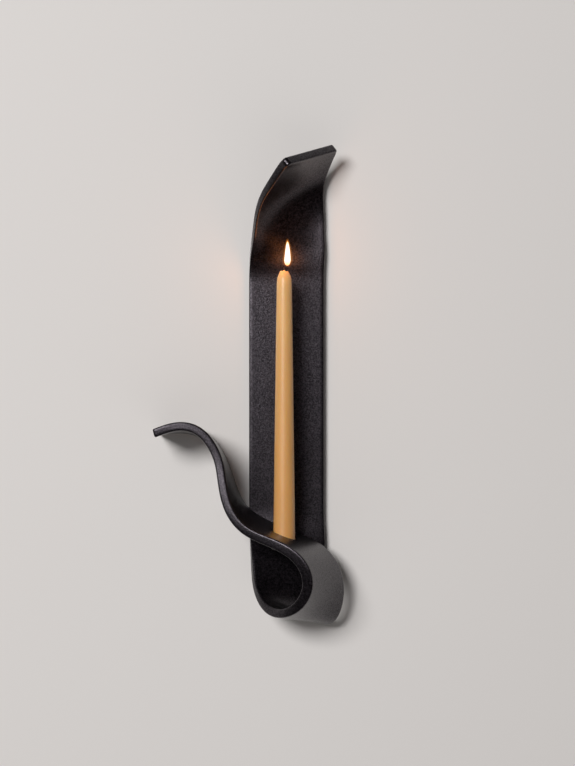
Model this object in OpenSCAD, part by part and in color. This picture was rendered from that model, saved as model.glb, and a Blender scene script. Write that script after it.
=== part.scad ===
// Wall sconce for one taper candle: a single cast band hangs flat on the wall, curls
// forward at its top, and turns through a loop at the bottom whose crown carries the candle.
//
// Frame: +X right, +Y towards the wall, +Z up. The flat back of the band is the plane Y = 0,
// and the origin is the centre of the upper keyhole's round entry hole on that plane.

/* [Band] */
// Width of the band, edge to edge
band_w = 76; // [72:1:80]
// Thickness of the band
band_t = 8.6; // [8.4:0.2:9]
// Extra thickness where the band rounds the loop's right side
loop_swell = 2.6; // [0:0.2:3]
// How deep the middle of the top curl is hollowed behind its two edges
curl_hollow = 10.5; // [0:0.5:10.5]
// Rounding along the four long edges
edge_r = 1.6; // [1:0.2:2.4]
// Flat facets across each broad face of the band
face_parts = 6; // [3:1:7]
// Sections in each curved span between two control rows
span_parts = 4; // [2:1:5]

/* [Candle] */
// Diameter of the candle at its foot
candle_d = 22; // [21:0.5:22]
// Diameter below the melted shoulder
candle_top_d = 15.2; // [12:0.2:18]
// Length of the candle from foot to rim
candle_l = 276; // [180:1:290]
// Diameter of the wick
wick_d = 1.8; // [1.2:0.2:2.4]
// Length of wick that stands out of the wax
wick_out = 7; // [4:1:10]

/* [Candle cup] */
// Radial room between the candle's foot and the cup
cup_play = 0.3; // [0.2:0.05:0.5]
// Wall of the cup
cup_wall = 1.7; // [1.4:0.1:2.2]
// Floor of the cup
cup_floor = 1.5; // [1.5:0.5:3]
// Depth of the cup below the band's upper face, at the candle's axis
cup_depth = 14; // [14:1:20]

/* [Wall fixing] */
// Distance between the two keyholes
keyhole_pitch = 170; // [150:5:180]
// Diameter of each keyhole's round entry hole
entry_d = 10; // [9:0.5:11]
// Width of each keyhole's slot
slot_w = 5; // [4:0.5:6]
// Height from the entry hole's centre to the slot's end centre
slot_rise = 10; // [8:1:12]
// Length of each hanger plate
plate_l = 58; // [56:1:64]
// Width of each hanger plate
plate_w = 22; // [20:1:26]
// Thickness of each hanger plate
plate_t = 2; // [1.5:0.5:2]
// Depth of the hollow behind each plate for the wall screw's head
head_room = 4; // [3.5:0.5:4]
// Diameter of each wall pad
pad_d = 10; // [8:1:14]
// Thickness of each wall pad
pad_t = 1.5; // [1:0.5:3]

/* [Hidden] */

$fn = 96;

// ---- the band's path -------------------------------------------------------------
// A smooth cubic B-spline follows these rows from the curled top end, down the flat back,
// round the loop and out along the tail. Each row is [front edge, back edge]: on the flat
// back the "front" edge is the left one and the "back" edge the right one.
flat_x = band_w / 2;
flat_y = -band_t / 2;
function flat_row(z) = [[-flat_x, flat_y, z], [flat_x, flat_y, z]];

curl_rows = [
    [[ -1, -85, 146], [49, -32, 166]],
    [[ -6, -78, 142], [46, -25, 160]],
    [[-17, -63, 126], [36,  -9, 137]],
    [[-27, -49, 112], [35,  -5, 118]],
    [[-32, -37,  93], [37,  -5,  96]],
    [[-34, -32,  74], [37,  -4,  82]],
    [[-37, -11,  60], [39,  -5,  63]]];
flat_rows = [for (z = [44, 26, 6, -174, -192, -210]) flat_row(z)];
loop_rows = [
    [[-37, -10, -229], [ 39,  -5, -229]],
    [[-35, -25, -249], [ 38,  -5, -253]],
    [[-34, -32, -269], [ 37,  -5, -273]],
    [[-29, -44, -284], [ 35,  -4, -290]],
    [[-21, -57, -294], [ 35,  -9, -312]],
    [[ -9, -72, -298], [ 49, -24, -310]],
    [[  9, -90, -292], [ 56, -28, -285]],
    [[ 24,-100, -268], [ 52, -30, -257]],
    [[ 14, -99, -240], [ 34, -26, -234]],
    [[-14, -92, -225], [  5, -19, -224]],
    [[-41, -86, -217], [-23, -13, -212]]];
tail_rows = [
    [[ -59, -83, -195], [ -46, -8, -198]],
    [[ -64, -81, -164], [ -57, -5, -169]],
    [[ -66, -79, -143], [ -64, -3, -146]],
    [[ -82, -78, -116], [ -82, -2, -121]],
    [[-106, -77, -110], [-106, -2, -116]],
    [[-129, -78, -119], [-129, -2, -119]]];
rows = concat(curl_rows, flat_rows, loop_rows, tail_rows);
last_row = len(rows) - 1;

// The spans that lie wholly in the flat back are straight and need no extra sections.
flat_first = len(curl_rows) + 1;
flat_last = len(curl_rows) + len(flat_rows) - 3;
function span_steps(k) = (k >= flat_first && k <= flat_last) ? 1 : span_parts;

// The band is thickest at this row, and back to its plain thickness two or three rows away.
swell_row = len(curl_rows) + len(flat_rows) + 7;
swell_spread = 1.9;
function thickness(p) = band_t + loop_swell * exp(-pow((p - swell_row) / swell_spread, 2));

// The hollow is deepest at this row, and dies out this many rows above and below it.
hollow_row = 4.3;
hollow_up = 3.8;
hollow_down = 2.6;
function hollow(p) =
    let (away = (p - hollow_row) / (p > hollow_row ? hollow_down : hollow_up))
    abs(away) < 1 ? curl_hollow * pow(cos(90 * away), 2) : 0;

// Control row i; past either end the path runs on straight.
function row(i) = i < 0 ? 2 * rows[0] - rows[1]
                : i > last_row ? 2 * rows[last_row] - rows[last_row - 1]
                : rows[i];
// The pair of edge points at t = 0..1 along span k, and their rate of change.
function edges_at(k, t) = (pow(1 - t, 3) * row(k - 1)
                           + (3 * pow(t, 3) - 6 * t * t + 4) * row(k)
                           + (-3 * pow(t, 3) + 3 * t * t + 3 * t + 1) * row(k + 1)
                           + pow(t, 3) * row(k + 2)) / 6;
function edges_rate(k, t) = (-pow(1 - t, 2) * row(k - 1)
                             + (3 * t * t - 4 * t) * row(k)
                             + (-3 * t * t + 2 * t + 1) * row(k + 1)
                             + t * t * row(k + 2)) / 2;
function unit(v) = v / norm(v);

// A section's frame: its centre, the direction across the band, the direction out of the
// broad face that lies on the wall and turns outwards round the loop, the thickness, and how
// far its middle is hollowed that way.
function section_at(k, t) =
    let (edges = edges_at(k, t),
         rate = edges_rate(k, t),
         across = unit(edges[1] - edges[0]),
         out = unit(cross(across, rate[0] + rate[1])))
    [(edges[0] + edges[1]) / 2, across, out, thickness(k + t), hollow(k + t)];

sections = concat(
    [for (k = [0 : last_row - 1])
        for (j = [0 : span_steps(k) - 1])
            section_at(k, j / span_steps(k))],
    [section_at(last_row - 1, 1)]);

// A section's outline as [across, out] pairs: rounded corners and divided broad faces.
// Both ends of the band are closed by one more outline, drawn in by the edge rounding.
corner_steps = 2;
flat_half = flat_x - edge_r;
function corner(side_x, side_y, from_angle, t) =
    [for (i = [0 : corner_steps])
        let (a = from_angle + 90 * i / corner_steps)
        [side_x * flat_half + edge_r * cos(a),
         side_y * (t / 2 - edge_r) + edge_r * sin(a)]];
function broad_face(side, y) =
    [for (i = [1 : face_parts - 1]) [side * flat_half * (1 - 2 * i / face_parts), y]];
function outline(t) = concat(
    corner(1, -1, -90, t), corner(1, 1, 0, t), broad_face(1, t / 2),
    corner(-1, 1, 90, t), corner(-1, -1, 180, t), broad_face(-1, -t / 2));
outline_count = len(outline(band_t));

function ring(s, drawn_in = 0) =
    [for (p = outline(s[3]))
        let (x = p[0] * (1 - drawn_in / flat_x),
             y = p[1] * (1 - 2 * drawn_in / s[3]) + s[4] * (1 - pow(p[0] / flat_x, 2)))
        s[0] + x * s[1] + y * s[2]];
function moved(s, d) = [s[0] + d, s[1], s[2], s[3], s[4]];
// The direction in which the path leaves each end.
function end_way(s) = cross(s[2], s[1]);

module band_solid() {
    first = sections[0];
    last = sections[len(sections) - 1];
    rings = concat(
        [ring(moved(first, -edge_r * end_way(first)), edge_r)],
        [for (s = sections) ring(s)],
        [ring(moved(last, edge_r * end_way(last)), edge_r)]);
    m = outline_count;
    sides = [for (i = [0 : len(rings) - 2])
        for (j = [0 : m - 1])
            let (a = i * m + j,
                 b = i * m + (j + 1) % m)
            each [[a, b, b + m], [a, b + m, a + m]]];
    // Each end face starts at the middle of a rounded corner, off every straight side.
    caps = [[for (j = [m + 1 : -1 : 2]) j % m],
            [for (j = [1 : m]) (len(rings) - 1) * m + j % m]];
    polyhedron([for (r = rings) each r], concat(sides, caps));
}

// ---- the candle and its cup ------------------------------------------------------
// The candle stands on the crown, which is this section of the band, a little nearer to the
// wall than the band's middle.
crown = section_at(len(curl_rows) + len(flat_rows) + 8, 0.97);
wallward = 5;
candle_at = crown[0] + wallward * crown[1];
candle_x = candle_at[0];
candle_y = candle_at[1];
crown_z = candle_at[2] + crown[3] / 2 / crown[2][2];
// How far the crown's upper face leans from level, and which way it leans.
crown_lean = acos(crown[2][2]);
crown_heading = atan2(crown[2][1], crown[2][0]);
foot_z = crown_z - cup_depth;
cup_r = candle_d / 2 + cup_play;
cup_out_r = cup_r + cup_wall;
cup_chamfer = 1.4;
// The cup's top is cut to the crown's slope, this far below the band's upper face.
cup_sink = 0.8;
cup_spare = 12;
trim_half = 40;
hole_reach = 24;

module on_candle_axis(z) {
    translate([candle_x, candle_y, z])
        children();
}

// ---- the wall fixing -------------------------------------------------------------
keyhole_z = [0, -keyhole_pitch];
plate_corner = 4;
pocket_play = 0.2;
head_hollow_w = 14;
plate_mid = slot_rise / 2;
plate_screw_at = plate_l / 2 - 5;
screw_d = 3;
screw_head_d = 6;
screw_head_h = 1.6;
screw_l = 6.5;
screw_slot_w = 0.8;
screw_slot_l = 3.6;
screw_slot_depth = 0.9;
tap_spare = 0.3;
pad_x = 28;
pad_z = [20, -186];
over = 1;

// Puts its children on the band's back at height z: x stays, y is up, z runs into the band.
module on_back(z) {
    translate([0, 0, z])
        rotate([90, 0, 0])
            children();
}

module at_plate_screws() {
    for (side = [-1, 1])
        translate([0, plate_mid + side * plate_screw_at, 0])
            children();
}

module rounded_oblong(w, l, r) {
    square([w, l - 2 * r], center = true);
    square([w - 2 * r, l], center = true);
    for (sx = [-1, 1])
        for (sy = [-1, 1])
            translate([sx * (w / 2 - r), sy * (l / 2 - r)])
                circle(r);
}

// A vertical slot that starts at the entry hole's centre and ends slot_rise above it.
module upright_slot(w) {
    translate([-w / 2, 0])
        square([w, slot_rise]);
    translate([0, slot_rise])
        circle(d = w);
}

// The pocket for one hanger plate, with the hollow for the wall screw's head behind it.
module plate_pocket() {
    translate([0, plate_mid, -over])
        linear_extrude(plate_t + over)
            rounded_oblong(plate_w + 2 * pocket_play, plate_l + 2 * pocket_play, plate_corner);
    linear_extrude(plate_t + head_room) {
        circle(d = head_hollow_w);
        upright_slot(head_hollow_w);
    }
    at_plate_screws()
        cylinder(d = screw_d, h = screw_l + tap_spare);
}

module ribbon_band() {
    color("#232226")
        difference() {
            band_solid();
            on_candle_axis(crown_z - hole_reach)
                cylinder(r = cup_out_r, h = 2 * hole_reach);
            for (z = keyhole_z)
                on_back(z)
                    plate_pocket();
        }
}

module candle_cup() {
    color("#2a292c")
        difference() {
            on_candle_axis(foot_z)
                rotate_extrude()
                    polygon([[0, -cup_floor], [cup_out_r - cup_chamfer, -cup_floor],
                             [cup_out_r, cup_chamfer - cup_floor],
                             [cup_out_r, cup_depth + cup_spare],
                             [cup_r, cup_depth + cup_spare], [cup_r, 0], [0, 0]]);
            on_candle_axis(crown_z)
                rotate([0, crown_lean, crown_heading])
                    translate([-trim_half, -trim_half, -cup_sink])
                        cube(2 * trim_half);
        }
}

// The candle tapers from its foot to the shoulder, and is rounded over into a shallow pool.
shoulder_drop = 17;
shoulder_r = candle_top_d / 2;
pool_r = 4.2;
pool_depth = 1.5;

module taper_candle() {
    color("#d9a766")
        on_candle_axis(foot_z)
            rotate_extrude()
                polygon([[wick_d / 2, 0], [candle_d / 2, 0], [shoulder_r, candle_l - shoulder_drop],
                         [shoulder_r - 0.5, candle_l - 8], [shoulder_r - 1.4, candle_l - 3],
                         [pool_r + 1, candle_l], [pool_r, candle_l - 0.3],
                         [pool_r - 1.6, candle_l - pool_depth],
                         [wick_d / 2, candle_l - pool_depth]]);
}

// The wick runs the candle's whole length, and its burnt end leans over a little.
wick_bend_r = 14;
wick_lean = 20;

module wick() {
    color("#1c1512")
        on_candle_axis(foot_z) {
            cylinder(d = wick_d, h = candle_l + wick_out / 2);
            translate([wick_bend_r, 0, candle_l + wick_out / 2])
                rotate([90, 0, 180])
                    rotate_extrude(angle = wick_lean)
                        translate([wick_bend_r, 0])
                            circle(d = wick_d);
        }
}

module hanger_plate(z) {
    color("#9a9c9f")
        on_back(z)
            difference() {
                linear_extrude(plate_t)
                    difference() {
                        translate([0, plate_mid])
                            rounded_oblong(plate_w, plate_l, plate_corner);
                        circle(d = entry_d);
                        upright_slot(slot_w);
                    }
                at_plate_screws() {
                    cylinder(d = screw_d, h = plate_t);
                    cylinder(d1 = screw_head_d, d2 = screw_d, h = screw_head_h);
                }
            }
}

module hanger_plate_upper() {
    hanger_plate(keyhole_z[0]);
}

module hanger_plate_lower() {
    hanger_plate(keyhole_z[1]);
}

// Countersunk, slotted screw, its head level with the hanger plate's back face.
module plate_screw() {
    difference() {
        union() {
            cylinder(d1 = screw_head_d, d2 = screw_d, h = screw_head_h);
            cylinder(d = screw_d, h = screw_l);
        }
        translate([-screw_slot_l / 2, -screw_slot_w / 2, -over])
            cube([screw_slot_l, screw_slot_w, screw_slot_depth + over]);
    }
}

module hanger_screws() {
    color("#b9bbbe")
        for (z = keyhole_z)
            on_back(z)
                at_plate_screws()
                    plate_screw();
}

module wall_pads() {
    color("#1a1a1a")
        for (z = pad_z)
            for (side = [-1, 1])
                on_back(z)
                    translate([side * pad_x, 0, -pad_t])
                        cylinder(d = pad_d, h = pad_t);
}

ribbon_band();
candle_cup();
taper_candle();
wick();
hanger_plate_upper();
hanger_plate_lower();
hanger_screws();
wall_pads();
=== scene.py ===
"""Looks of the wall sconce: a black cast band with a lit taper candle, on a pale wall.

All lengths in the tables below are millimetres in the part's own frame: +X right, +Y towards
the wall, +Z up. MM turns them into Blender's metres.
"""

import math

import bmesh
import bpy
import numpy as np
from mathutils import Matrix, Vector, noise


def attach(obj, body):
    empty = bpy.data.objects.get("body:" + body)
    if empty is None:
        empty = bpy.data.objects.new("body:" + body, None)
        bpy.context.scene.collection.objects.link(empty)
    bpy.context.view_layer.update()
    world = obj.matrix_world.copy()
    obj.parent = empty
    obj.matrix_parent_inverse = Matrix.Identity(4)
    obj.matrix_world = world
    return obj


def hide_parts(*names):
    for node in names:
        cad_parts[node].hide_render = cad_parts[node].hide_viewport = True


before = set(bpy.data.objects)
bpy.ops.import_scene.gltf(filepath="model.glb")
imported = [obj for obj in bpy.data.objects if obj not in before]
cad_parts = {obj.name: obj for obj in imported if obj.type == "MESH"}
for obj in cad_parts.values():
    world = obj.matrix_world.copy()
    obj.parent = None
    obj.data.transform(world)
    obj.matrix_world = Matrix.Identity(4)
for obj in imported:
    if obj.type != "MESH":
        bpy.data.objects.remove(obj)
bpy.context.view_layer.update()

MM = 0.001

# ---- sizes, as in the part ---------------------------------------------------------
BAND_W = 76.0
BAND_T = 8.6
LOOP_SWELL = 2.6
EDGE_R = 1.6
CANDLE_D = 22.0
CUP_DEPTH = 14.0
CUP_OUT_R = 13.0
CUP_HOLE_REACH = 24.0
CANDLE_L = 276.0
SHOULDER_R = 7.6
SHOULDER_DROP = 17.0
WICK_R = 0.9
KEYHOLE_Z = (0.0, -170.0)
PLATE_MID = 5.0
SLOT_RISE = 10.0
POCKET_W = 22.4
POCKET_L = 58.4
POCKET_CORNER = 4.0
PLATE_T = 2.0
HEAD_ROOM = 4.0
HOLLOW_W = 14.0
CUT_OVER = 1.0

# ---- the band's path: control rows of [front edge, back edge] ----------------------
CURL_ROWS = [
    [[-1, -85, 146], [49, -32, 166]],
    [[-6, -78, 142], [46, -25, 160]],
    [[-17, -63, 126], [36, -9, 137]],
    [[-27, -49, 112], [35, -5, 118]],
    [[-32, -37, 93], [37, -5, 96]],
    [[-34, -32, 74], [37, -4, 82]],
    [[-37, -11, 60], [39, -5, 63]],
]
FLAT_ROWS = [[[-38, -4.3, z], [38, -4.3, z]] for z in (44, 26, 6, -174, -192, -210)]
LOOP_ROWS = [
    [[-37, -10, -229], [39, -5, -229]],
    [[-35, -25, -249], [38, -5, -253]],
    [[-34, -32, -269], [37, -5, -273]],
    [[-29, -44, -284], [35, -4, -290]],
    [[-21, -57, -294], [35, -9, -312]],
    [[-9, -72, -298], [49, -24, -310]],
    [[9, -90, -292], [56, -28, -285]],
    [[24, -100, -268], [52, -30, -257]],
    [[14, -99, -240], [34, -26, -234]],
    [[-14, -92, -225], [5, -19, -224]],
    [[-41, -86, -217], [-23, -13, -212]],
]
TAIL_ROWS = [
    [[-59, -83, -195], [-46, -8, -198]],
    [[-64, -81, -164], [-57, -5, -169]],
    [[-66, -79, -143], [-64, -3, -146]],
    [[-82, -78, -116], [-82, -2, -121]],
    [[-106, -77, -110], [-106, -2, -116]],
    [[-129, -78, -119], [-129, -2, -119]],
]
ROWS = np.array(CURL_ROWS + FLAT_ROWS + LOOP_ROWS + TAIL_ROWS, float)
LAST = len(ROWS) - 1
SWELL_ROW = 20
SWELL_SPREAD = 1.9
HOLLOW = 10.5
HOLLOW_ROW = 4.3
HOLLOW_UP = 3.8
HOLLOW_DOWN = 2.6
CROWN_ROW = 21
CROWN_T = 0.97
WALLWARD = 5.0

# ---- how finely the shapes are divided, and how the band's ends are rounded --------
RING_STEP = 2.2
FACE_STEP = 2.4
CORNER_STEPS = 4
CURL_END_R = 4.5
TAIL_END_R = 2.5
END_STEPS = 9
END_GAP = 0.4
AROUND = 96


def row(i):
    """Control row i; past either end the path runs on straight."""
    if i < 0:
        return 2 * ROWS[0] - ROWS[1]
    if i > LAST:
        return 2 * ROWS[LAST] - ROWS[LAST - 1]
    return ROWS[i]


def unit(v):
    """The vector's direction, at length one."""
    return v / np.linalg.norm(v)


def hollow(p):
    """How far the curl's middle is sunk behind the line between its two edges at row p."""
    reach = HOLLOW_DOWN if p > HOLLOW_ROW else HOLLOW_UP
    away = (p - HOLLOW_ROW) / reach
    return HOLLOW * math.cos(math.radians(90 * away)) ** 2 if abs(away) < 1 else 0.0


def section_at(k, t):
    """Centre, across, out, thickness and hollow of the band at t along span k."""
    a, b, c, d = row(k - 1), row(k), row(k + 1), row(k + 2)
    edges = ((1 - t) ** 3 * a + (3 * t**3 - 6 * t * t + 4) * b
             + (-3 * t**3 + 3 * t * t + 3 * t + 1) * c + t**3 * d) / 6
    rate = (-(1 - t) ** 2 * a + (3 * t * t - 4 * t) * b
            + (-3 * t * t + 2 * t + 1) * c + t * t * d) / 2
    across = unit(edges[1] - edges[0])
    out = unit(np.cross(across, rate[0] + rate[1]))
    swell = math.exp(-(((k + t - SWELL_ROW) / SWELL_SPREAD) ** 2))
    return edges.mean(axis=0), across, out, BAND_T + LOOP_SWELL * swell, hollow(k + t)


def section_outline(t):
    """[across, out] pairs round a section of thickness t: round corners, divided faces."""
    flat = BAND_W / 2 - EDGE_R
    faces = int(2 * flat / FACE_STEP)
    points = []

    def corner(side_x, side_y, start):
        for i in range(CORNER_STEPS + 1):
            a = math.radians(start + 90 * i / CORNER_STEPS)
            points.append((side_x * flat + EDGE_R * math.cos(a),
                           side_y * (t / 2 - EDGE_R) + EDGE_R * math.sin(a)))

    def broad(side, y):
        for i in range(1, faces):
            points.append((side * flat * (1 - 2 * i / faces), y))

    def narrow(side, x):
        points.append((x, side * (t / 6 - EDGE_R / 3)))
        points.append((x, -side * (t / 6 - EDGE_R / 3)))

    corner(1, -1, -90)
    narrow(-1, BAND_W / 2)
    corner(1, 1, 0)
    broad(1, t / 2)
    corner(-1, 1, 90)
    narrow(1, -BAND_W / 2)
    corner(-1, -1, 180)
    broad(-1, -t / 2)
    return points


def ring(section, narrower=0.0, thinner=0.0):
    """The section's outline in space, drawn in at both edges and both broad faces."""
    centre, across, out, t, sunk = section
    half = BAND_W / 2
    kx = 1 - narrower / half
    ky = 1 - 2 * thinner / t
    return [centre + x * kx * across + (y * ky + sunk * (1 - (x / half) ** 2)) * out
            for x, y in section_outline(t)]


def rounded_in(radius, d):
    """How far a corner of this radius is drawn in at the distance d from its end."""
    if d >= radius:
        return 0.0
    return radius - math.sqrt(radius**2 - (radius - d) ** 2)


def end_rings(section, way, corner_r):
    """Rings that round a band end over, in its thickness and at its corners, outermost last."""
    centre, across, out, t, sunk = section
    rings = []
    for i in range(1, END_STEPS + 1):
        d = corner_r * (1 - math.sin(math.radians(90 * i / END_STEPS)))
        moved = (centre + way * (EDGE_R - d), across, out, t, sunk)
        rings.append(ring(moved, rounded_in(corner_r, d), rounded_in(EDGE_R, d)))
    return rings


def clear_of_end(sections, corner_r):
    """Drops the sections that lie within the rounded corners of the first end."""
    end = sections[0][0]
    reach = corner_r - EDGE_R
    return [s for s in sections if np.linalg.norm(s[0] - end) > reach + END_GAP]


def band_sections():
    """Sections about RING_STEP apart from the curled top end to the tail's end."""
    sections = []
    for k in range(LAST):
        ends = [section_at(k, t)[0] for t in (0, 0.5, 1)]
        length = np.linalg.norm(ends[1] - ends[0]) + np.linalg.norm(ends[2] - ends[1])
        steps = max(2, round(length / RING_STEP))
        sections += [section_at(k, j / steps) for j in range(steps)]
    sections.append(section_at(LAST - 1, 1))
    return sections


def mesh_object(name, vertices, faces):
    """A new object in the scene from vertices in millimetres."""
    mesh = bpy.data.meshes.new(name)
    mesh.from_pydata([[c * MM for c in v] for v in vertices], [], faces)
    mesh.validate()
    obj = bpy.data.objects.new(name, mesh)
    bpy.context.scene.collection.objects.link(obj)
    return obj


def loft(rings):
    """Vertices and faces of a closed skin over rings of equal length."""
    m = len(rings[0])
    faces = []
    for i in range(len(rings) - 1):
        for j in range(m):
            k = (j + 1) % m
            faces.append((i * m + j, (i + 1) * m + j, (i + 1) * m + k, i * m + k))
    faces.append(tuple(range(m)))
    faces.append(tuple((len(rings) - 1) * m + j for j in reversed(range(m))))
    return [v for r in rings for v in r], faces


def outward(obj):
    """Points every face of a closed mesh outwards."""
    bm = bmesh.new()
    bm.from_mesh(obj.data)
    bmesh.ops.recalc_face_normals(bm, faces=bm.faces)
    bm.to_mesh(obj.data)
    bm.free()


def smooth(obj, angle):
    """Smooth shading, with sharp edges kept where faces meet at more than angle degrees."""
    obj.data.shade_smooth()
    obj.data.set_sharp_from_angle(angle=math.radians(angle))


def cut(obj, cutters):
    """Takes the cutters' volumes out of obj and removes the cutters."""
    for cutter in cutters:
        m = obj.modifiers.new("cut", "BOOLEAN")
        m.operation = "DIFFERENCE"
        m.solver = "EXACT"
        m.object = cutter
    apply_modifiers(obj)
    for cutter in cutters:
        bpy.data.objects.remove(cutter)


def apply_modifiers(obj):
    """Makes the modifiers' result the object's own mesh."""
    graph = bpy.context.evaluated_depsgraph_get()
    graph.update()
    done = bpy.data.meshes.new_from_object(obj.evaluated_get(graph))
    obj.modifiers.clear()
    obj.data = done


# ---- the band ----------------------------------------------------------------------
crown_centre, crown_across, crown_out, crown_t = section_at(CROWN_ROW, CROWN_T)[:4]
candle_at = crown_centre + WALLWARD * crown_across
CANDLE_X, CANDLE_Y = candle_at[0], candle_at[1]
CROWN_Z = candle_at[2] + crown_t / 2 / crown_out[2]
FOOT_Z = CROWN_Z - CUP_DEPTH
RIM_Z = FOOT_Z + CANDLE_L


def prism(name, outline, plane, depth):
    """A closed prism from an [x, z] outline at Y = plane, reaching depth towards the room."""
    front = [(x, plane - depth, z) for x, z in outline]
    back = [(x, plane, z) for x, z in outline]
    vertices, faces = loft([back, front])
    obj = mesh_object(name, vertices, faces)
    outward(obj)
    return obj


def rounded_oblong(w, l, r, z_mid, steps=8):
    """[x, z] outline of an upright oblong with round corners."""
    points = []
    for sx, sz, start in ((1, 1, 0), (-1, 1, 90), (-1, -1, 180), (1, -1, 270)):
        for i in range(steps + 1):
            a = math.radians(start + 90 * i / steps)
            points.append((sx * (w / 2 - r) + r * math.cos(a),
                           z_mid + sz * (l / 2 - r) + r * math.sin(a)))
    return points


def stadium(w, low, high, steps=24):
    """[x, z] outline of an upright slot with round ends, centred at low and high."""
    points = []
    for z, start in ((high, 0), (low, 180)):
        for i in range(steps + 1):
            a = math.radians(start + 180 * i / steps)
            points.append((w / 2 * math.cos(a), z + w / 2 * math.sin(a)))
    return points


def circle(x, y, z, r, sides, flat=1.0):
    """A level ring of points; flat below one presses it together along Y."""
    turns = [2 * math.pi * i / sides for i in range(sides)]
    return [(x + r * math.cos(a), y + flat * r * math.sin(a), z) for a in turns]


def candle_hole():
    """The upright hole through the crown that the cup sits in."""
    rings = [circle(CANDLE_X, CANDLE_Y, z, CUP_OUT_R, AROUND)
             for z in (CROWN_Z - CUP_HOLE_REACH, CROWN_Z + CUP_HOLE_REACH)]
    vertices, faces = loft(rings)
    obj = mesh_object("hole_cutter", vertices, faces)
    outward(obj)
    return obj


def make_band():
    """The cast band, with the cup's hole and the two pockets in its back."""
    sections = band_sections()
    way_first = unit(np.cross(sections[0][1], sections[0][2]))
    way_last = unit(np.cross(sections[-1][2], sections[-1][1]))
    first = end_rings(sections[0], way_first, CURL_END_R)
    last = end_rings(sections[-1], way_last, TAIL_END_R)
    middle = clear_of_end(sections, CURL_END_R)
    middle = clear_of_end(middle[::-1], TAIL_END_R)[::-1]
    rings = list(reversed(first)) + [ring(s) for s in middle] + last
    vertices, faces = loft(rings)
    band = mesh_object("cast_band", vertices, faces)
    outward(band)
    cutters = [candle_hole()]
    for z in KEYHOLE_Z:
        pocket = rounded_oblong(POCKET_W, POCKET_L, POCKET_CORNER, z + PLATE_MID)
        cutters.append(prism("pocket_cutter", pocket, CUT_OVER, PLATE_T + CUT_OVER))
        head_space = stadium(HOLLOW_W, z, z + SLOT_RISE)
        head_depth = PLATE_T + HEAD_ROOM + CUT_OVER
        cutters.append(prism("hollow_cutter", head_space, CUT_OVER, head_depth))
    cut(band, cutters)
    smooth(band, 40)
    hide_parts("ribbon_band")
    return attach(band, "holder")


# ---- the candle --------------------------------------------------------------------
FOOT_R = 0.9
FOOT_BREAK = 0.25
BODY_STEPS = 110
HAND_SWAY = 0.10
MELT_SWAY = 0.30
WAX_SWAY_FROM_R = 3


def rim_rise(a):
    """How much higher or lower the melted rim stands at angle a."""
    return 0.45 * math.cos(a - 3.3) + 0.30 * math.cos(2 * a + 0.9) + 0.20 * math.cos(3 * a)


def candle_profile():
    """[radius, height from the foot, share of the rim's unevenness] from foot to wick."""
    foot_r = CANDLE_D / 2
    body_top = CANDLE_L - SHOULDER_DROP
    body = [(WICK_R, 0.0, 0.0), (foot_r - FOOT_R, 0.0, 0.0),
            (foot_r - FOOT_BREAK, FOOT_BREAK, 0.0)]
    for i in range(BODY_STEPS + 1):
        f = i / BODY_STEPS
        z = FOOT_R + f * (body_top - FOOT_R)
        r = foot_r + (SHOULDER_R - foot_r) * z / body_top
        body.append((r, z, 0.0))
    shoulder = [(7.52, -14, 0.0), (7.36, -11.5, 0.02), (7.10, -9.2, 0.06), (6.72, -7.2, 0.14),
                (6.15, -5.4, 0.28), (5.45, -4.0, 0.48), (4.85, -2.8, 0.72), (4.40, -1.9, 0.92),
                (4.05, -1.3, 1.0), (3.75, -1.05, 1.0), (3.48, -1.15, 0.95), (3.2, -1.55, 0.85),
                (2.9, -2.1, 0.7), (2.5, -2.5, 0.5), (2.1, -2.5, 0.3), (1.7, -2.1, 0.15),
                (1.4, -1.4, 0.05), (1.12, -0.6, 0.0), (0.92, 0.1, 0.0)]
    body += [(r, CANDLE_L + dz, share) for r, dz, share in shoulder]
    return body


def make_candle():
    """The taper, with a hand-dipped unevenness and a melted rim."""
    rings = []
    for r, z, share in candle_profile():
        points = []
        for i in range(AROUND):
            a = 2 * math.pi * i / AROUND
            p = Vector((math.cos(a) * r, math.sin(a) * r, z))
            hand = noise.noise(Vector((p.x / 9, p.y / 9, p.z / 38))) * HAND_SWAY
            melt = noise.noise(p / 3.2 + Vector((7, 3, 1))) * MELT_SWAY * share
            wide = r + (hand + melt if r > WAX_SWAY_FROM_R else 0.0)
            points.append((CANDLE_X + wide * math.cos(a), CANDLE_Y + wide * math.sin(a),
                           FOOT_Z + z + share * rim_rise(a)))
        rings.append(points)
    vertices, faces = loft(rings)
    candle = mesh_object("taper_wax", vertices, faces)
    outward(candle)
    smooth(candle, 50)
    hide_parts("taper_candle")
    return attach(candle, "candle")


# ---- the wick and the flame: heights from the candle's rim --------------------------
WICK_LOW = -6.0
WICK_HIGH = 6.6
WICK_RINGS = 56
STRANDS = 3
STRAND_R = 0.46
STRAND_SIDES = 10
BRAID_R = 0.42
BRAID_TURN = 4.2
BURNT_FROM = 0.72
FLAME_OFF_X = 3.0
FLAME_OFF_Y = -0.3
FLAME_FLAT = 0.85
FLAME_BEND = 0.35
FLAME_STEPS = 40
FLAME_SIDES = 40
FLAME_TIP_R = 0.04


def wick_line(s):
    """The wick's centre at height s above the rim: upright, then leaning right."""
    lean = max(0.0, s + 1.0)
    return Vector((CANDLE_X + 0.052 * lean * lean, CANDLE_Y - 0.008 * lean * lean, RIM_Z + s))


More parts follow.
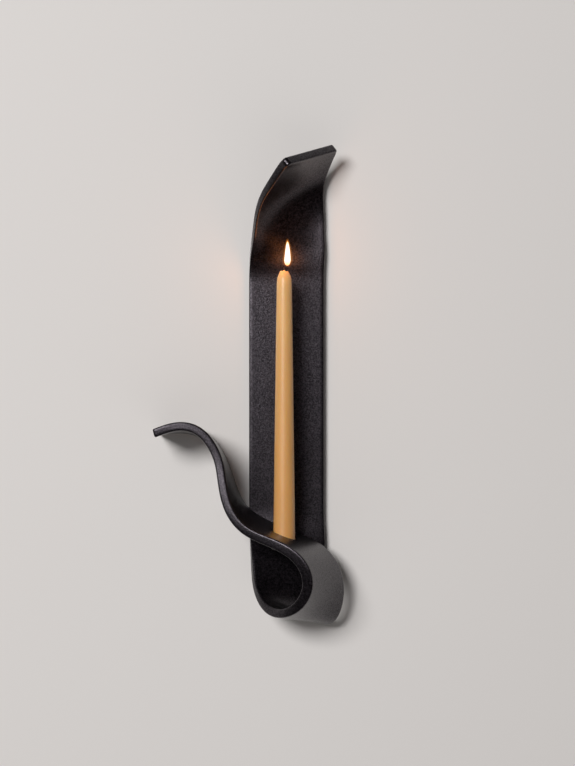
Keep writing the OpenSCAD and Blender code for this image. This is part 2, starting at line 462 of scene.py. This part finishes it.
def make_wick():
    """Three twisted strands, thinner and ragged towards the burnt tip."""
    bm = bmesh.new()
    for strand in range(STRANDS):
        loops = []
        for i in range(WICK_RINGS + 1):
            f = i / WICK_RINGS
            s = WICK_LOW + f * (WICK_HIGH - WICK_LOW)
            burnt = max(0.0, (f - BURNT_FROM) / (1 - BURNT_FROM))
            thin = 1.0 - 0.45 * burnt ** 1.5
            turn = 2 * math.pi * (strand / STRANDS + s / BRAID_TURN)
            mid = wick_line(s)
            mid += Vector((math.cos(turn), math.sin(turn), 0)) * BRAID_R * thin
            ragged = 1 + 0.16 * noise.noise(Vector((strand * 5.0, s * 1.7, 0.3)))
            r = STRAND_R * thin * ragged
            loop = []
            for j in range(STRAND_SIDES):
                a = 2 * math.pi * j / STRAND_SIDES
                p = mid + Vector((math.cos(a), math.sin(a), 0)) * r
                loop.append(bm.verts.new(p * MM))
            loops.append(loop)
        for u, v in zip(loops, loops[1:]):
            for j in range(STRAND_SIDES):
                k = (j + 1) % STRAND_SIDES
                bm.faces.new((u[j], u[k], v[k], v[j]))
        bm.faces.new(list(reversed(loops[0])))
        bm.faces.new(loops[-1])
    mesh = bpy.data.meshes.new("wick_braid")
    bm.to_mesh(mesh)
    bm.free()
    wick = bpy.data.objects.new("wick_braid", mesh)
    bpy.context.scene.collection.objects.link(wick)
    smooth(wick, 60)
    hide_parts("wick")
    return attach(wick, "candle")


def flame_radius(f, widest):
    """Half width of the flame at f = 0..1 of its height: blunt below, drawn out to a tip."""
    blunt = min(1.0, f / 0.22) ** 0.38
    return widest * blunt * ((1 - f) / 0.78) ** 0.52


def make_flame(name, low, high, widest):
    """One skin of the flame, from low to high, leaning to one side a little."""
    rings = []
    for i in range(FLAME_STEPS + 1):
        f = 0.004 + 0.992 * i / FLAME_STEPS
        z = RIM_Z + low + f * (high - low)
        r = max(FLAME_TIP_R, flame_radius(f, widest))
        x = CANDLE_X + FLAME_OFF_X + FLAME_BEND * math.sin(2.6 * f)
        rings.append(circle(x, CANDLE_Y + FLAME_OFF_Y, z, r, FLAME_SIDES, FLAME_FLAT))
    vertices, faces = loft(rings)
    flame = mesh_object(name, vertices, faces)
    outward(flame)
    smooth(flame, 80)
    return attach(flame, "candle")


# ---- materials ---------------------------------------------------------------------
class Shader:
    """A material's node tree, with short ways to add and join nodes."""

    def __init__(self, name):
        self.material = bpy.data.materials.new(name)
        self.material.use_nodes = True
        self.tree = self.material.node_tree
        self.surface = self.tree.nodes["Principled BSDF"]
        self.place = self.tree.nodes.new("ShaderNodeTexCoord").outputs["Object"]

    def node(self, kind, **values):
        """A new node, with its inputs set by name."""
        n = self.tree.nodes.new("ShaderNode" + kind)
        for key, value in values.items():
            n.inputs[key.replace("_", " ")].default_value = value
        return n

    def join(self, a, b):
        self.tree.links.new(a, b)

    def set(self, **values):
        """Sets the surface's own inputs by name."""
        for key, value in values.items():
            self.surface.inputs[key.replace("_", " ")].default_value = value

    def stretched(self, scale):
        """The surface's own coordinates, scaled along X, Y and Z."""
        n = self.node("Mapping")
        n.inputs["Scale"].default_value = scale
        self.join(self.place, n.inputs["Vector"])
        return n.outputs["Vector"]

    def noise(self, size, detail=2.0, roughness=0.5, where=None):
        """Noise whose blots are about size millimetres across."""
        n = self.node("TexNoise", Scale=1000.0 / size, Detail=detail, Roughness=roughness)
        self.join(where or self.place, n.inputs["Vector"])
        return n.outputs["Fac"]

    def ramp(self, source, stops):
        """A colour ramp from [position, colour or grey] stops."""
        n = self.tree.nodes.new("ShaderNodeValToRGB")
        marks = n.color_ramp.elements
        while len(marks) < len(stops):
            marks.new(0.5)
        for mark, (position, colour) in zip(marks, stops):
            mark.position = position
            grey = isinstance(colour, (int, float))
            mark.color = (colour, colour, colour, 1) if grey else (*colour, 1)
        self.join(source, n.inputs["Fac"])
        return n.outputs["Color"]

    def height(self, low, high):
        """0 to 1 between two heights in millimetres in the part's frame."""
        axis = self.tree.nodes.new("ShaderNodeSeparateXYZ")
        self.join(self.place, axis.inputs["Vector"])
        return self.spread(axis.outputs["Z"], low * MM, high * MM, 0.0, 1.0)

    def spread(self, source, low, high, new_low, new_high):
        """Maps the range from low to high onto the range from new_low to new_high."""
        n = self.node("MapRange")
        n.inputs["From Min"].default_value = low
        n.inputs["From Max"].default_value = high
        n.inputs["To Min"].default_value = new_low
        n.inputs["To Max"].default_value = new_high
        self.join(source, n.inputs["Value"])
        return n.outputs["Result"]

    def bumps(self, *layers):
        """Bump from [height source, height in millimetres, strength] layers."""
        normal = None
        for source, height, strength in layers:
            n = self.node("Bump", Strength=strength, Distance=height * MM)
            self.join(source, n.inputs["Height"])
            if normal is not None:
                self.join(normal, n.inputs["Normal"])
            normal = n.outputs["Normal"]
        self.join(normal, self.surface.inputs["Normal"])


def black_coat():
    """Fine sandy powder coat on a casting: near black, a soft speckled sheen."""
    s = Shader("black_powder_coat")
    grain = s.noise(1.1, 2.0, 0.6)
    mottle = s.noise(1.9, 2.0, 0.6)
    speckle = s.noise(1.3, 1.0, 0.6)
    cloud = s.noise(38.0, 2.0)
    s.join(s.ramp(mottle, [(0.42, (0.0003, 0.0002, 0.0003)), (0.68, (0.0110, 0.0088, 0.0106))]),
           s.surface.inputs["Base Color"])
    s.join(s.spread(cloud, 0.3, 0.7, 0.28, 0.32), s.surface.inputs["Roughness"])
    s.join(s.spread(speckle, 0.34, 0.66, 0.26, 0.70), s.surface.inputs["Specular IOR Level"])
    s.surface.inputs["Specular Tint"].default_value = (1.0, 0.90, 1.0, 1)
    s.bumps((mottle, 0.12, 0.8), (grain, 0.08, 0.8))
    return s.material


def cup_coat():
    """The cup's smoother black coat, dusted with wax near the candle."""
    s = Shader("cup_black_coat")
    grain = s.noise(0.7, 2.0)
    wear = s.noise(3.0, 3.0, 0.6)
    s.join(s.ramp(wear, [(0.35, (0.010, 0.0095, 0.010)), (0.75, (0.030, 0.024, 0.018))]),
           s.surface.inputs["Base Color"])
    s.join(s.spread(wear, 0.3, 0.7, 0.38, 0.55), s.surface.inputs["Roughness"])
    s.bumps((grain, 0.08, 0.5))
    return s.material


def wax_with_painted_glow():
    """Ochre wax: satin, a little light passing through, with a painted glow: warmer and brighter
    towards the top, where the flame's light falls.
    """
    s = Shader("ochre_wax_painted_glow")
    streak = s.noise(10.0, 3.0, 0.5, s.stretched((1.0, 1.0, 0.16)))
    speck = s.noise(1.6, 2.0)
    height = s.height(FOOT_Z, RIM_Z)
    # Painted glow: the upper stops brighten and warm the wax towards the rim in place of the
    # flame's light on it. The lowest stops are close to the wax's own ochre.
    body = s.ramp(height, [(0.0, (0.65, 0.325, 0.104)), (0.55, (0.66, 0.348, 0.121)),
                           (0.92, (0.74, 0.425, 0.162)), (1.0, (0.84, 0.500, 0.200))])
    tone = s.ramp(streak, [(0.3, 0.93), (0.7, 1.0)])
    mix = s.tree.nodes.new("ShaderNodeMix")
    mix.data_type = "RGBA"
    mix.blend_type = "MULTIPLY"
    mix.inputs["Factor"].default_value = 1.0
    s.join(body, mix.inputs["A"])
    s.join(tone, mix.inputs["B"])
    s.join(mix.outputs["Result"], s.surface.inputs["Base Color"])
    s.join(s.spread(streak, 0.3, 0.7, 0.36, 0.48), s.surface.inputs["Roughness"])
    s.set(Subsurface_Weight=0.35, Subsurface_Scale=0.004, Specular_IOR_Level=0.45)
    s.surface.inputs["Subsurface Radius"].default_value = (1.0, 0.55, 0.2)
    s.bumps((streak, 0.10, 0.5), (speck, 0.03, 0.4))
    return s.material


def burnt_cotton():
    """Cotton braid: pale in the wax, charred black above it, with a glowing tip."""
    s = Shader("burnt_cotton")
    height = s.height(RIM_Z - 2, RIM_Z + 7)
    char = s.noise(0.5, 3.0, 0.6)
    s.join(s.ramp(height, [(0.0, (0.30, 0.17, 0.07)), (0.28, (0.035, 0.022, 0.015)),
                           (0.85, (0.010, 0.008, 0.008)), (1.0, (0.10, 0.03, 0.01))]),
           s.surface.inputs["Base Color"])
    s.join(s.ramp(height, [(0.86, (0.0, 0.0, 0.0)), (1.0, (0.9, 0.22, 0.03))]),
           s.surface.inputs["Emission Color"])
    s.set(Emission_Strength=1.5, Roughness=0.9)
    s.bumps((char, 0.12, 0.8))
    return s.material


def flame_glow(name, stops, low, high, strength, see_through):
    """Light given off by the flame, by height, part of it see-through at its edge."""
    s = Shader(name)
    height = s.height(RIM_Z + low, RIM_Z + high)
    s.join(s.ramp(height, stops), s.surface.inputs["Emission Color"])
    s.set(Emission_Strength=strength, Roughness=1.0, Specular_IOR_Level=0.0,
          Alpha=1.0 - see_through)
    s.surface.inputs["Base Color"].default_value = (0, 0, 0, 1)
    return s.material


def zinc():
    """Rolled zinc-plated sheet: bright, finely brushed along its length."""
    s = Shader("zinc_sheet")
    brush = s.noise(0.9, 3.0, 0.6, s.stretched((1.0, 1.0, 0.06)))
    bloom = s.noise(7.0, 3.0, 0.6)
    s.join(s.ramp(bloom, [(0.3, (0.42, 0.43, 0.45)), (0.7, (0.58, 0.59, 0.60))]),
           s.surface.inputs["Base Color"])
    s.join(s.spread(brush, 0.3, 0.7, 0.30, 0.46), s.surface.inputs["Roughness"])
    s.set(Metallic=0.95)
    s.bumps((brush, 0.03, 0.5))
    return s.material


def screw_steel():
    """Bright plated steel, lightly turned."""
    s = Shader("plated_screw")
    turned = s.noise(0.5, 3.0, 0.6)
    s.join(s.ramp(turned, [(0.3, (0.46, 0.46, 0.44)), (0.7, (0.66, 0.66, 0.64))]),
           s.surface.inputs["Base Color"])
    s.join(s.spread(turned, 0.3, 0.7, 0.22, 0.36), s.surface.inputs["Roughness"])
    s.set(Metallic=1.0)
    s.bumps((turned, 0.02, 0.4))
    return s.material


def rubber():
    """Black rubber with a dull fine skin."""
    s = Shader("pad_rubber")
    skin = s.noise(0.8, 3.0, 0.6)
    s.join(s.ramp(skin, [(0.3, (0.012, 0.012, 0.012)), (0.7, (0.030, 0.030, 0.029))]),
           s.surface.inputs["Base Color"])
    s.join(s.spread(skin, 0.3, 0.7, 0.72, 0.9), s.surface.inputs["Roughness"])
    s.bumps((skin, 0.06, 0.6))
    return s.material


def paint(obj, material):
    """Makes the material the object's only one."""
    obj.data.materials.clear()
    obj.data.materials.append(material)


# ---- the wall, floor, lights and camera ----------------------------------------------
WALL_Y = 1.5
WALL_TOP = 2200.0
FLOOR_Z = -1400.0
HALF_WIDE = 3000.0
HALF_DEEP = 4000.0
SHOWN_BACKDROP = (0.62, 0.60, 0.585, 1)
WHITE = (1.0, 1.0, 1.0)
PART_MIDDLE = (0.0, -0.03, -0.07)
FLAME_HEART = 20.0


def wall_paint():
    """Pale matt wall. Seen from behind it lets the sight through, to show the part's back."""
    s = Shader("pale_wall")
    skin = s.noise(9.0, 4.0, 0.6)
    s.surface.inputs["Base Color"].default_value = (0.68, 0.652, 0.632, 1)
    s.set(Roughness=0.95, Specular_IOR_Level=0.15)
    s.bumps((skin, 0.10, 0.25))
    clear = s.tree.nodes.new("ShaderNodeBsdfTransparent")
    side = s.tree.nodes.new("ShaderNodeNewGeometry")
    mix = s.tree.nodes.new("ShaderNodeMixShader")
    s.join(side.outputs["Backfacing"], mix.inputs["Fac"])
    s.join(s.surface.outputs["BSDF"], mix.inputs[1])
    s.join(clear.outputs["BSDF"], mix.inputs[2])
    s.join(mix.outputs["Shader"], s.tree.nodes["Material Output"].inputs["Surface"])
    return s.material


def make_stage():
    """The wall, at the wall pads' faces, and the floor far below."""
    w = HALF_WIDE
    d = HALF_DEEP
    wall = mesh_object("wall", [(-w, WALL_Y, FLOOR_Z), (w, WALL_Y, FLOOR_Z),
                                (w, WALL_Y, WALL_TOP), (-w, WALL_Y, WALL_TOP)],
                       [(0, 1, 2, 3)])
    floor = mesh_object("floor", [(-w, -d, FLOOR_Z), (w, -d, FLOOR_Z),
                                  (w, d, FLOOR_Z), (-w, d, FLOOR_Z)], [(0, 1, 2, 3)])
    paint(wall, wall_paint())
    ground = Shader("pale_floor")
    ground.surface.inputs["Base Color"].default_value = (0.66, 0.64, 0.62, 1)
    ground.set(Roughness=0.9)
    paint(floor, ground.material)
    wall.visible_shadow = False
    floor.visible_diffuse = False
    floor.visible_glossy = False
    return floor


def area_light(name, place, target, wide, high, power, colour=WHITE):
    """A soft oval light at place, aimed at target, in metres and watts."""
    data = bpy.data.lights.new(name, "AREA")
    data.shape = "ELLIPSE"
    data.size = wide
    data.size_y = high
    data.energy = power
    data.color = colour
    light = bpy.data.objects.new(name, data)
    light.location = place
    aim = Vector(target) - Vector(place)
    light.rotation_euler = aim.to_track_quat("-Z", "Y").to_euler()
    light.visible_camera = False
    bpy.context.scene.collection.objects.link(light)
    return light


def only_for(light, name, objects):
    """Lets the light fall on the given objects alone."""
    lit = bpy.data.collections.new(name)
    for obj in objects:
        lit.objects.link(obj)
    light.light_linking.receiver_collection = lit


def room_light():
    """Weak even light from the room. The backdrop that shows behind the part stays pale."""
    world = bpy.data.worlds.new("soft_room")
    world.use_nodes = True
    tree = world.node_tree
    room = tree.nodes["Background"]
    room.inputs["Color"].default_value = (1.0, 0.985, 0.97, 1)
    room.inputs["Strength"].default_value = 0.012
    shown = tree.nodes.new("ShaderNodeBackground")
    shown.inputs["Color"].default_value = SHOWN_BACKDROP
    path = tree.nodes.new("ShaderNodeLightPath")
    mix = tree.nodes.new("ShaderNodeMixShader")
    tree.links.new(path.outputs["Is Camera Ray"], mix.inputs["Fac"])
    tree.links.new(room.outputs["Background"], mix.inputs[1])
    tree.links.new(shown.outputs["Background"], mix.inputs[2])
    tree.links.new(mix.outputs["Shader"], tree.nodes["World Output"].inputs["Surface"])
    bpy.context.scene.world = world


def flame_lamp():
    """The flame's own light, which rides with the candle."""
    flame = bpy.data.lights.new("flame_light", "POINT")
    flame.energy = 0.07
    flame.color = (1.0, 0.34, 0.08)
    flame.shadow_soft_size = 0.018
    lamp = bpy.data.objects.new("flame_light", flame)
    lamp.location = (CANDLE_X * MM, CANDLE_Y * MM, (RIM_Z + FLAME_HEART) * MM)
    bpy.context.scene.collection.objects.link(lamp)
    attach(lamp, "candle")


def make_lights(floor):
    """Lights for the part from the upper left, behind and the front, for the floor, and the flame.

    The floor is left out of bounced light, and the light named bounce stands in for it.
    """
    area_light("key", (-1.44, -3.70, 1.06), PART_MIDDLE, 1.60, 1.10, 152)
    area_light("back", (-1.05, 2.40, 0.55), PART_MIDDLE, 1.0, 0.8, 34)
    above = area_light("floor_light", (0.0, 0.0, 2.6), (0.0, 0.0, -1.4), 5.0, 5.0, 110,
                       (1.0, 0.99, 0.98))
    only_for(above, "floor_alone", [floor])
    bounce = area_light("bounce", (0.0, -1.9, -1.39), (0.0, -1.9, 0.0), 5.0, 3.4, 19,
                        (1.0, 0.98, 0.96))
    bounce.visible_glossy = False
    area_light("sheen", (-0.40, -3.20, 0.30), (0.0, 0.0, 0.0), 0.50, 0.35, 2.4,
               (1.0, 0.93, 1.0))
    flame_lamp()
    room_light()


def make_camera():
    """Square on to the wall, from two metres away."""
    data = bpy.data.cameras.new("camera")
    data.sensor_fit = "AUTO"
    data.sensor_width = 36.0
    data.lens = 92.15
    data.clip_start = 0.05
    data.clip_end = 30.0
    camera = bpy.data.objects.new("camera", data)
    camera.location = (0.001, -1.9995, -0.070)
    camera.rotation_euler = (math.radians(90), 0, 0)
    bpy.context.scene.collection.objects.link(camera)
    bpy.context.scene.camera = camera


def lit_flame():
    """A near-white core inside two see-through orange skins."""
    white_hot = [(0.0, (1.0, 0.42, 0.12)), (0.10, (1.0, 0.80, 0.52)), (0.30, (1.0, 0.97, 0.88)),
                 (0.80, (1.0, 0.97, 0.86)), (1.0, (1.0, 0.66, 0.26))]
    orange = [(0.0, (0.6, 0.14, 0.03)), (0.4, (1.0, 0.40, 0.10)), (1.0, (1.0, 0.32, 0.05))]
    # Each skin's name, low and high ends, half width, colours, strength and see-through share.
    skins = [("flame_core", 4.6, 28.6, 3.1, white_hot, 2.6, 0.0),
             ("flame_edge", 4.0, 29.8, 3.9, orange, 1.0, 0.62),
             ("flame_halo", 3.2, 31.4, 5.4, orange, 0.8, 0.92)]
    for name, low, high, widest, colours, strength, see_through in skins:
        skin = make_flame(name, low, high, widest)
        paint(skin, flame_glow(name + "_glow", colours, low, high, strength, see_through))


def main():
    make_camera()
    paint(make_band(), black_coat())
    paint(make_candle(), wax_with_painted_glow())
    paint(make_wick(), burnt_cotton())
    lit_flame()
    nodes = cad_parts
    paint(nodes["candle_cup"], cup_coat())
    sheet = zinc()
    paint(nodes["hanger_plate_upper"], sheet)
    paint(nodes["hanger_plate_lower"], sheet)
    paint(nodes["hanger_screws"], screw_steel())
    paint(nodes["wall_pads"], rubber())
    make_lights(make_stage())
    view = bpy.context.scene.view_settings
    view.view_transform = "Standard"
    view.look = "None"


main()
